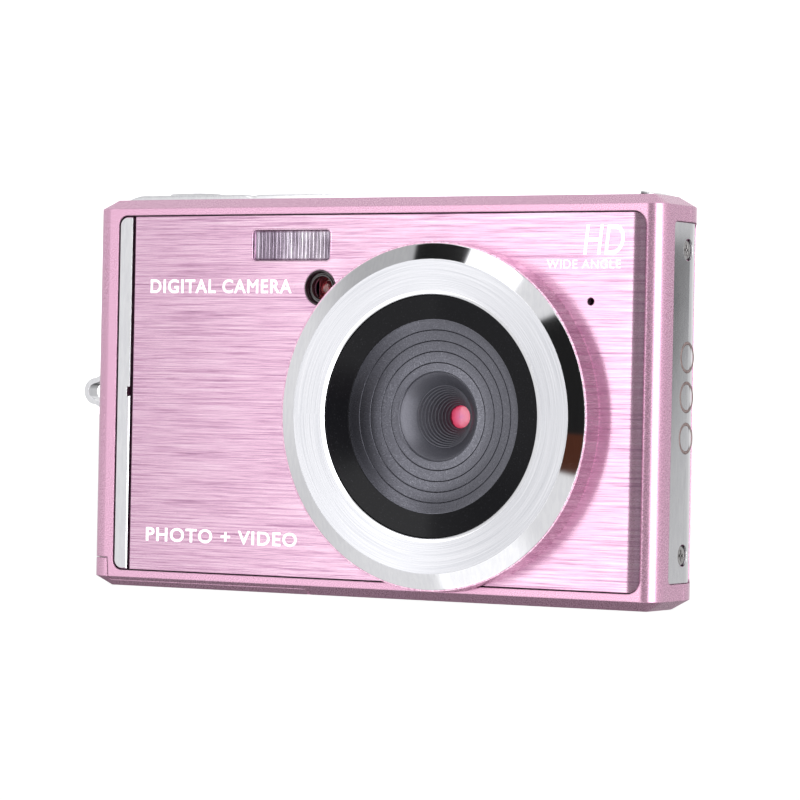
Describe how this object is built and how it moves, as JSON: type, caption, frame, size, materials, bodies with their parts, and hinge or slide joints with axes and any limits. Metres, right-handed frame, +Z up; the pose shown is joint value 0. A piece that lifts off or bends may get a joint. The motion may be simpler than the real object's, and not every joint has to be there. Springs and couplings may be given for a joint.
{
  "type": "compact digital camera",
  "caption": "Slim compact digital camera with a large fixed lens ring, brushed face plate, flash, chrome top and side trims, rear display, keys and a hinged battery door.",
  "frame": {"origin": "centre of the base that the camera stands on, midway between the front and rear faces of the body", "axes": "+X to the right seen from the front, along the width; the lens looks along -Y; +Z up, away from the base"},
  "size_m": [0.0987, 0.021, 0.0584],
  "materials": {
    "pink_paint": "satin pearl paint over moulded plastic",
    "brushed_pink": "brushed, pink anodised",
    "chrome_trim": "polished bright chrome",
    "black_gloss": "gloss black",
    "grey_baffle": "fine sparkling grey",
    "black_plastic": "matt black",
    "optical_glass": "clear, coated",
    "clear_window": "clear moulded, ribbed over the flash",
    "red_lamp": "clear red",
    "green_lamp": "clear green",
    "reflector": "bright reflector",
    "tube_glass": "clear glass tube",
    "sleeve": "shrink sleeve",
    "silicon": "dark package",
    "circuit_board": "green solder mask",
    "steel": "plain steel",
    "brass_insert": "turned brass",
    "battery_case": "printed grey wrap",
    "card_plastic": "dark blue plastic",
    "display_panel": "dark panel",
    "key_plastic": "satin silver plastic"
  },
  "bodies": {
    "root": {"battery": "battery_case", "battery_contacts": "black_plastic", "board_screws": "steel", "bottom_screws": "steel", "card_slot": "steel", "chassis": "steel", "display_module": "display_panel", "display_window": "black_gloss", "door_pin": "steel", "face_plate": "brushed_pink", "flash_capacitor": "sleeve", "flash_reflector": "reflector", "flash_tube": "tube_glass", "flash_window": "clear_window", "front_frame": "pink_paint", "image_sensor": "silicon", "infrared_filter": "optical_glass", "key_board": "circuit_board", "key_switches": "steel", "lamp_led": "red_lamp", "lamp_window": "clear_window", "left_trim": "chrome_trim", "lens_barrel": "black_plastic", "lens_collar": "brushed_pink", "lens_glass": "optical_glass", "lens_ring": "chrome_trim", "light_baffle": "grey_baffle", "main_board": "circuit_board", "memory_card": "card_plastic", "microphone": "black_plastic", "processor": "silicon", "rear_lens_glass": "optical_glass", "rear_shell": "pink_paint", "rocker_pin": "steel", "sensor_board": "circuit_board", "shutter_spring": "steel", "side_screws": "steel", "side_trim": "chrome_trim", "speaker": "black_plastic", "status_light": "green_lamp", "strap_lug": "chrome_trim", "top_board": "circuit_board", "top_switches": "steel", "top_trim": "chrome_trim", "tripod_socket": "brass_insert", "usb_connector": "steel", "window_border": "black_gloss"},
    "shutter": {"shutter_button": "chrome_trim"},
    "power": {"power_button": "chrome_trim"},
    "ok_key": {"ok_button": "key_plastic"},
    "mode_key": {"mode_button": "key_plastic"},
    "playback_key": {"playback_button": "key_plastic"},
    "menu_key": {"menu_button": "key_plastic"},
    "delete_key": {"delete_button": "key_plastic"},
    "up_key": {"up_key": "key_plastic"},
    "down_key": {"down_key": "key_plastic"},
    "left_key": {"left_key": "key_plastic"},
    "right_key": {"right_key": "key_plastic"},
    "zoom": {"zoom_rocker": "key_plastic"},
    "door": {"battery_door": "pink_paint"}
  },
  "joints": [
    {"name": "shutter_press", "type": "slide", "parent": "root", "child": "shutter", "axis": [0, 0, -1], "range_m": [0, 0.0005], "stiffness_N_per_m": 250, "springref_m": -0.0008, "deforming": ["shutter_spring"]},
    {"name": "power_press", "type": "slide", "parent": "root", "child": "power", "axis": [0, 0, -1], "range_m": [0, 0.0003], "stiffness_N_per_m": 250, "springref_m": -0.0008},
    {"name": "ok_key_press", "type": "slide", "parent": "root", "child": "ok_key", "axis": [0, -1, 0], "range_m": [0, 0.0004], "stiffness_N_per_m": 250, "springref_m": -0.0008},
    {"name": "mode_key_press", "type": "slide", "parent": "root", "child": "mode_key", "axis": [0, -1, 0], "range_m": [0, 0.0004], "stiffness_N_per_m": 250, "springref_m": -0.0008},
    {"name": "playback_key_press", "type": "slide", "parent": "root", "child": "playback_key", "axis": [0, -1, 0], "range_m": [0, 0.0004], "stiffness_N_per_m": 250, "springref_m": -0.0008},
    {"name": "menu_key_press", "type": "slide", "parent": "root", "child": "menu_key", "axis": [0, -1, 0], "range_m": [0, 0.0004], "stiffness_N_per_m": 250, "springref_m": -0.0008},
    {"name": "delete_key_press", "type": "slide", "parent": "root", "child": "delete_key", "axis": [0, -1, 0], "range_m": [0, 0.0004], "stiffness_N_per_m": 250, "springref_m": -0.0008},
    {"name": "up_key_press", "type": "slide", "parent": "root", "child": "up_key", "axis": [0, -1, 0], "range_m": [0, 0.0004], "stiffness_N_per_m": 250, "springref_m": -0.0008},
    {"name": "down_key_press", "type": "slide", "parent": "root", "child": "down_key", "axis": [0, -1, 0], "range_m": [0, 0.0004], "stiffness_N_per_m": 250, "springref_m": -0.0008},
    {"name": "left_key_press", "type": "slide", "parent": "root", "child": "left_key", "axis": [0, -1, 0], "range_m": [0, 0.0004], "stiffness_N_per_m": 250, "springref_m": -0.0008},
    {"name": "right_key_press", "type": "slide", "parent": "root", "child": "right_key", "axis": [0, -1, 0], "range_m": [0, 0.0004], "stiffness_N_per_m": 250, "springref_m": -0.0008},
    {"name": "zoom_tilt", "type": "hinge", "parent": "root", "child": "zoom", "pos_m": [-0.029, 0.0059, 0.0492], "axis": [0, 0, 1], "range_deg": [-3, 3], "stiffness_Nm_per_rad": 0.02},
    {"name": "door_hinge", "type": "hinge", "parent": "root", "child": "door", "pos_m": [-0.01035, 0, 0.00075], "axis": [0, -1, 0], "range_deg": [0, 90]}
  ]
}
